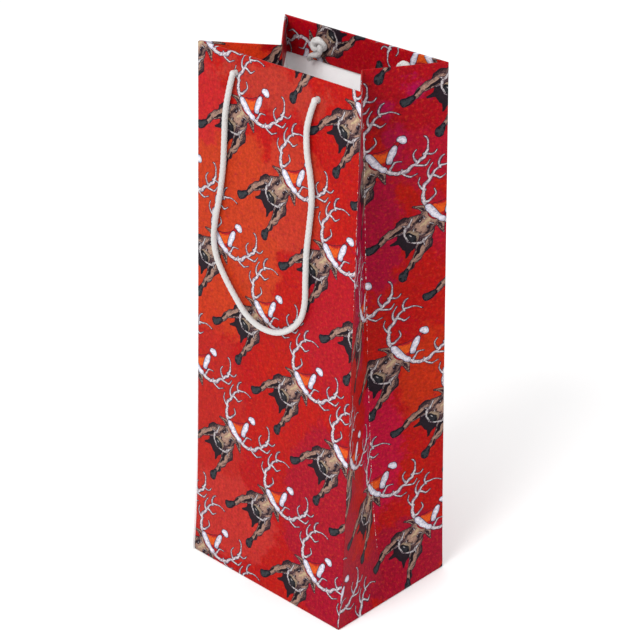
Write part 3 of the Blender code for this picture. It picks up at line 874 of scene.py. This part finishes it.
def reindeer_group(groups):
    """The reindeer over a background, at a point measured from the hat's bobble."""
    graph, given = new_group("reindeer", "Color", Vector="Point", Color="Under")
    inputs = {"Vector": given["Point"], "Scale": 0.22, "Detail": 0.0}
    wander = graph.add("TexNoise", inputs, output="Color")
    shift = graph.vector(
        "MULTIPLY_ADD", wander, (2 * WANDER, 2 * WANDER, 0.0), (-WANDER, -WANDER, 0.0)
    )
    point = graph.vector("ADD", given["Point"], shift)
    hairs = graph.noise(graph.stretch(point, (1.2, 0.34, 1.0)), 1.2, 3, 0.65)
    streak = graph.remap(hairs, (0.28, 0.72), (-STREAK_ON_RIM, STREAK_ON_RIM))
    x, y, _ = graph.split(point)
    mirrored = graph.add("CombineXYZ", {0: graph.math("ABSOLUTE", x), 1: y})
    painted = given["Under"]
    for is_mirrored, shapes, core, rim, depth, outline in REINDEER:
        distance = shape_distance(graph, groups, shapes, mirrored if is_mirrored else point)
        inputs = {
            "Under": painted, "Distance": distance, "Core": core, "Rim": rim, "Depth": depth,
            "Outline": INK, "Width": outline if outline else NO_OUTLINE, "Streak": streak,
        }
        painted = graph.group(groups["paint"], inputs)
    return graph.finished(painted)


# The repeat of the print, in millimetres: the step along a row, the step from row to row, how far
# each row is shifted along, and how far a row reaches above its bobbles
ROW_STEP = 47.4
ROW_HEIGHT = 75.0
ROW_SHIFT = -1.4
CELL_TOP = 12.5
BAG_HALF_ROUND = (BAG_WIDTH + BAG_DEPTH) / MM

# A bobble on each panel or gusset, in millimetres: (where that starts, place round, place up)
BOBBLES = [
    (-FLAP_WIDTH / MM, 87.0, 280.0),
    (BAG_WIDTH / MM, 193.0, 289.0),
    (BAG_HALF_ROUND, 314.0, 277.0),
    (BAG_HALF_ROUND + BAG_WIDTH / MM, 399.0, 289.0),
]

# Patches of paint in millimetres: (centre round, centre up, radius round, radius up, colour). The
# first list repeats on each half of the bag, and the second lies on the sheet once. In the second,
# the last patch is orange print made brighter as painted light on the shaded hem of the left
# gusset.
PATCHES = [
    (28, 230, 42, 62, (0.42, 0.038, 0.009)),
    (14, 176, 28, 24, (0.42, 0.030, 0.006)),
    (78, 258, 28, 34, (0.40, 0.030, 0.013)),
    (4, 296, 20, 26, (0.40, 0.012, 0.015)),
    (60, 316, 44, 14, (0.36, 0.030, 0.018)),
    (12, 100, 30, 60, (0.36, 0.012, 0.008)),
    (26, 36, 44, 28, (0.40, 0.023, 0.018)),
    (110, 66, 34, 62, (0.285, 0.002, 0.016)),
    (126, 18, 40, 26, (0.280, 0.001, 0.017)),
    (108, 196, 24, 46, (0.34, 0.004, 0.013)),
    (150, 235, 22, 70, (0.27, 0.001, 0.034)),
    (180, 238, 14, 46, (0.30, 0.001, 0.030)),
    (176, 96, 18, 46, (0.39, 0.002, 0.034)),
    (211, 136, 18, 34, (0.40, 0.022, 0.003)),
    (196, 312, 34, 26, (0.265, 0.001, 0.007)),
    (206, 276, 20, 18, (0.31, 0.003, 0.019)),
    (214, 238, 12, 22, (0.32, 0.004, 0.018)),
    (203, 318, 7, 6, (0.29, 0.001, 0.052)),
    (186, 306, 6, 6, (0.29, 0.001, 0.046)),
    (190, 286, 7, 12, (0.29, 0.002, 0.036)),
    (192, 18, 36, 28, (0.265, 0.001, 0.020)),
]
SINGLE_PATCHES_AND_PAINTED_LIGHT = [
    (428, 296, 34, 60, (0.50, 0.040, 0.005)),
    (300, 346, 95, 20, (0.33, 0.001, 0.008)),
    # Orange print, brightened as painted light where the mouth shades the left gusset's hem
    (425, 346, 40, 17, (0.60, 0.032, 0.008)),
]

# A patch's edge, in millimetres: how far it wanders and over what width it fades
PATCH_RAGGED = 17.0
PATCH_FADE = 4.5
PATCH_EDGE_COVER, PATCH_COVER = 0.35, 0.86


def brushed_patches(graph, groups, sheet, under, patches, ragged):
    """Patches of paint with ragged, brushed edges over a colour."""
    for x, y, wide, tall, paint in patches:
        distance = shape_distance(graph, groups, [(x, y, wide, tall, 0)], sheet)
        distance = graph.math("ADD", distance, ragged)
        cover = graph.math("MULTIPLY_ADD", distance, -1 / PATCH_FADE, PATCH_EDGE_COVER, clamp=True)
        under = graph.mix(graph.math("MULTIPLY", cover, PATCH_COVER), under, paint)
    return under


def background(graph, groups, repeated, sheet):
    """Broad dry-brushed patches of red, orange, crimson and magenta, one brightened as painted
    light.
    """
    crimson, scarlet = (0.340, 0.002, 0.004), (0.370, 0.006, 0.002)
    orange, wine = (0.44, 0.036, 0.009), (0.25, 0.001, 0.020)
    broad = graph.noise(sheet, 0.021, 3, 0.55)
    under = graph.mix(graph.remap(broad, (0.36, 0.64)), crimson, scarlet)
    ragged = graph.noise(sheet, 0.085, 6, 0.72)
    ragged = graph.math("MULTIPLY_ADD", ragged, 2 * PATCH_RAGGED, -PATCH_RAGGED)
    under = brushed_patches(graph, groups, repeated, under, PATCHES, ragged)
    under = brushed_patches(graph, groups, sheet, under, SINGLE_PATCHES_AND_PAINTED_LIGHT, ragged)
    streaks = graph.noise(graph.stretch(sheet, (0.30, 0.11, 1.0)), 1.1, 5, 0.70)
    under = graph.scale(under, graph.remap(streaks, (0.30, 0.72), (0.74, 1.08)))
    flecks = graph.remap(graph.noise(sheet, 0.48, 4, 0.80), (0.53, 0.66), (0.0, 0.55))
    stains = graph.remap(graph.noise(sheet, 0.31, 5, 0.80), (0.55, 0.66), (0.0, 0.60))
    return graph.mix(stains, graph.mix(flecks, under, orange), wine)


def print_group(groups):
    """The print's colour at a place on the sheet, in millimetres round and up it."""
    graph, given = new_group("print", "Color", Vector="Sheet")
    around, up, _ = graph.split(given["Sheet"])
    around_half = graph.math("WRAP", around, BAG_HALF_ROUND, 0.0)
    repeated = graph.add("CombineXYZ", {0: around_half, 1: up})
    under = background(graph, groups, repeated, given["Sheet"])
    _, bobble_x, bobble_y = BOBBLES[0]
    for (_, last_x, last_y), (start, x, y) in zip(BOBBLES, BOBBLES[1:]):
        past = graph.math("GREATER_THAN", around, start)
        bobble_x = graph.math("MULTIPLY_ADD", past, x - last_x, bobble_x)
        bobble_y = graph.math("MULTIPLY_ADD", past, y - last_y, bobble_y)
    from_x = graph.math("SUBTRACT", around, bobble_x)
    from_y = graph.math("SUBTRACT", up, bobble_y)
    tilted = math.sqrt(0.5)
    across = graph.math("MULTIPLY", graph.math("SUBTRACT", from_x, from_y), tilted)
    upward = graph.math("MULTIPLY", graph.math("ADD", from_x, from_y), tilted)
    in_cell = graph.math("WRAP", upward, CELL_TOP, CELL_TOP - ROW_HEIGHT)
    row = graph.math("DIVIDE", graph.math("SUBTRACT", in_cell, upward), ROW_HEIGHT)
    across = graph.math("MULTIPLY_ADD", row, -ROW_SHIFT, across)
    across = graph.math("WRAP", across, ROW_STEP / 2, -ROW_STEP / 2)
    point = graph.add("CombineXYZ", {0: across, 1: in_cell})
    painted = graph.group(groups["reindeer"], {"Point": point, "Under": under})
    grain = graph.remap(graph.noise(repeated, 0.55, 3, 0.80), (0.36, 0.64), (0.78, 1.20))
    return graph.finished(graph.scale(painted, grain))


# Folds where the print has cracked, in millimetres: (place round, lowest and highest place up)
WORN_FOLDS = [(BAG_WIDTH / MM, 205.0, 345.0), ((BAG_WIDTH + HALF_GUSSET) / MM, 30.0, 300.0)]

# Cracks, in millimetres: a distance that none reaches, the widest one, and how fast an edge fades
SPARED = 9.0
CRACK_WIDTH = 0.34
CRACK_FADE, CRACK_LEAST = 6.0, 0.1


def fold_wear(graph, sheet):
    """Where the print has cracked off along a fold, so that white paper shows."""
    around, up, _ = graph.split(sheet)
    nearest = SPARED
    for fold, lowest, highest in WORN_FOLDS:
        away = graph.math("ABSOLUTE", graph.math("SUBTRACT", around, fold))
        away = graph.math("MULTIPLY_ADD", graph.math("LESS_THAN", up, lowest), SPARED, away)
        away = graph.math("MULTIPLY_ADD", graph.math("GREATER_THAN", up, highest), SPARED, away)
        nearest = graph.math("MINIMUM", nearest, away)
    dashes = graph.noise(sheet, 0.42, 3, 0.75)
    width = graph.remap(dashes, (0.50, 0.66), (0.0, CRACK_WIDTH))
    inside = graph.math("SUBTRACT", width, nearest)
    return graph.math("MULTIPLY_ADD", inside, CRACK_FADE, CRACK_LEAST, clamp=True)


# Where the base flaps' print lies on the sheet, in millimetres
BASE_PRINT_PLACE = (63.0, 120.0, 0.0)

# The rope's yarns, which lean a little more than its strands, and its fuzz, in millimetres
YARN_LEAN = 1.25
YARN_WIDTH = 0.55
FUZZ_HEIGHT = 1.6


def new_material(name, **settings):
    """(material, its graph, its shader), with the shader's own values set."""
    material = bpy.data.materials.new(name)
    material.use_nodes = True
    shader = material.node_tree.nodes["Principled BSDF"]
    for key, value in settings.items():
        shader.inputs[key.replace("_", " ")].default_value = value
    return material, Graph(material.node_tree), shader


def finish(graph, shader, tone, rough, height, depth, strength):
    """Plug in the colour, the roughness, and a bump this many metres deep."""
    graph.feed(shader.inputs["Base Color"], tone)
    graph.feed(shader.inputs["Roughness"], rough)
    inputs = {"Strength": strength, "Distance": depth, "Height": height}
    graph.feed(shader.inputs["Normal"], graph.add("Bump", inputs))


def printed_paper(groups):
    """Coated paper with the print on it, worn white along two folds."""
    material, graph, shader = new_material("printed_paper", Specular_IOR_Level=0.05)
    sheet = graph.add("UVMap", {}, uv_map="sheet")
    print_colour = graph.group(groups["print"], {"Sheet": sheet})
    worn = fold_wear(graph, sheet)
    tone = graph.mix(worn, print_colour, (0.80, 0.78, 0.76))
    grain = graph.noise(sheet, 1.9, 3, 0.6)
    rough = graph.remap(grain, (0.3, 0.7), (0.36, 0.48))
    rough = graph.math("ADD", rough, graph.math("MULTIPLY", worn, 0.25))
    finish(graph, shader, tone, rough, grain, 0.00003, 0.5)
    return material


def plain_paper():
    """The sheet's unprinted side and its cut edges: soft white paper with faint fibres."""
    material, graph, shader = new_material("plain_paper", Specular_IOR_Level=0.20)
    place = graph.place()
    cloud = graph.remap(graph.noise(place, 0.08, 4, 0.6), (0.3, 0.7))
    fibre = graph.noise(graph.stretch(place, (1.0, 1.0, 0.35)), 1.6, 4, 0.7)
    tone = graph.mix(cloud, (0.90, 0.88, 0.89), (0.94, 0.93, 0.93))
    fibre_share = graph.remap(fibre, (0.58, 0.75), (0.0, 0.35))
    tone = graph.mix(fibre_share, tone, (0.82, 0.80, 0.80))
    rough = graph.remap(fibre, (0.3, 0.7), (0.56, 0.70))
    finish(graph, shader, tone, rough, fibre, 0.00004, 0.5)
    return material


def card_board():
    """Grey-white pulp board with flecks."""
    material, graph, shader = new_material("card_board", Specular_IOR_Level=0.25)
    place = graph.place()
    pulp = graph.noise(place, 0.5, 5, 0.65)
    fleck = graph.remap(graph.noise(place, 2.2, 2, 0.6), (0.66, 0.74), (0.0, 0.6))
    pulp_share = graph.remap(pulp, (0.32, 0.68))
    tone = graph.mix(pulp_share, (0.66, 0.64, 0.60), (0.80, 0.79, 0.75))
    tone = graph.mix(fleck, tone, (0.42, 0.38, 0.33))
    rough = graph.remap(pulp, (0.3, 0.7), (0.72, 0.88))
    finish(graph, shader, tone, rough, pulp, 0.00008, 0.6)
    return material


def base_paper(groups):
    """A base flap: printed on the side that faces the table, plain on the other."""
    material, graph, shader = new_material("base_paper", Specular_IOR_Level=0.35)
    place = graph.place()
    sheet = graph.vector("MULTIPLY_ADD", place, (1.0, -1.0, 0.0), BASE_PRINT_PLACE)
    print_colour = graph.group(groups["print"], {"Sheet": sheet})
    _, _, facing_up = graph.split(graph.add("NewGeometry", {}, "True Normal"))
    underneath = graph.math("LESS_THAN", facing_up, -0.5)
    fibre = graph.noise(place, 1.6, 4, 0.7)
    fibre_share = graph.remap(fibre, (0.4, 0.75))
    plain = graph.mix(fibre_share, (0.86, 0.85, 0.84), (0.76, 0.74, 0.73))
    tone = graph.mix(underneath, plain, print_colour)
    rough = graph.remap(fibre, (0.3, 0.7), (0.40, 0.58))
    finish(graph, shader, tone, rough, fibre, 0.00004, 0.4)
    return material


def rope_fibre():
    """Soft white rope: fine yarns laid along each strand, with loose fibres and a dull sheen."""
    material, graph, shader = new_material(
        "rope_fibre", Specular_IOR_Level=0.25, Sheen_Weight=0.30, Sheen_Roughness=0.5
    )
    sheet = graph.add("UVMap", {}, uv_map="sheet")
    turns = 2 * ROPE_RADIUS * math.pi / ROPE_PITCH
    lean = graph.measure("DOT_PRODUCT", sheet, (1.0, -turns * YARN_LEAN, 0.0))
    yarn = graph.math("SINE", graph.math("MULTIPLY", lean, 2 * math.pi / YARN_WIDTH))
    fuzz = graph.noise(graph.stretch(sheet, (1.6, 0.55, 1.0)), 2.4, 4, 0.7)
    height = graph.math("MULTIPLY_ADD", fuzz, FUZZ_HEIGHT, yarn)
    # Painted shade: the colour is darker where the yarns and fuzz lie low, and lighter on their
    # crowns
    groove_shade = graph.remap(height, (-0.6, 1.8))
    tone = graph.mix(groove_shade, (0.45, 0.442, 0.430), (0.59, 0.580, 0.570))
    rough = graph.remap(fuzz, (0.3, 0.7), (0.62, 0.82))
    finish(graph, shader, tone, rough, height, 0.00006, 0.7)
    return material


def make_materials():
    groups = {
        "stroke": stroke_group(), "oval": oval_group(), "arc": arc_group(), "paint": paint_group(),
    }
    groups["reindeer"] = reindeer_group(groups)
    groups["print"] = print_group(groups)
    return {
        "printed_paper": printed_paper(groups),
        "plain_paper": plain_paper(),
        "card": card_board(),
        "base_paper": base_paper(groups),
        "rope": rope_fibre(),
    }


def finish_flat_parts(materials):
    """Materials for the flat CAD pieces that stay: the base flaps and the three cards."""
    flaps = [f"base_flap_{side}" for side in ("front", "back", "left", "right")]
    cards = ["base_card", "front_top_card", "back_top_card"]
    for look, nodes in (("base_paper", flaps), ("card", cards)):
        for node in nodes:
            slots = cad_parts[node].data.materials
            slots.clear()
            slots.append(materials[look])


# ---- floor and light


def make_floor():
    shape = bmesh.new()
    bmesh.ops.create_grid(shape, x_segments=1, y_segments=1, size=FLOOR_SIZE)
    mesh = mesh_from("floor", shape)
    material, graph, shader = new_material("floor", Roughness=0.9, Specular_IOR_Level=0.0)
    cloud = graph.noise(graph.add("TexCoord", {}, "Object"), 1.3)
    tone = graph.mix(cloud, (0.94, 0.94, 0.94), (0.96, 0.96, 0.96))
    graph.feed(shader.inputs["Base Color"], tone)
    mesh.materials.append(material)
    floor = add_object("floor", mesh)
    floor.location.z = -FLOOR_DROP


def make_light():
    world = bpy.data.worlds.new("studio")
    world.use_nodes = True
    ambient = world.node_tree.nodes["Background"]
    ambient.inputs["Color"].default_value = (1.0, 1.0, 1.0, 1.0)
    ambient.inputs["Strength"].default_value = AMBIENT_LIGHT
    bpy.context.scene.world = world
    for name, azimuth, elevation, distance, size, watts in LIGHTS:
        data = bpy.data.lights.new(name, "AREA")
        data.shape = "DISK"
        data.size = size
        data.energy = watts
        light = add_object(name, data)
        back = direction(azimuth, elevation)
        light.location = Vector((0.0, 0.0, BAG_HEIGHT / 2)) + back * distance
        face_along(light, -back)


make_camera()
materials = make_materials()
make_ropes(materials["rope"])
make_sheet(materials["printed_paper"], materials["plain_paper"])
finish_flat_parts(materials)
make_floor()
make_light()
bpy.context.scene.view_settings.view_transform = "Standard"
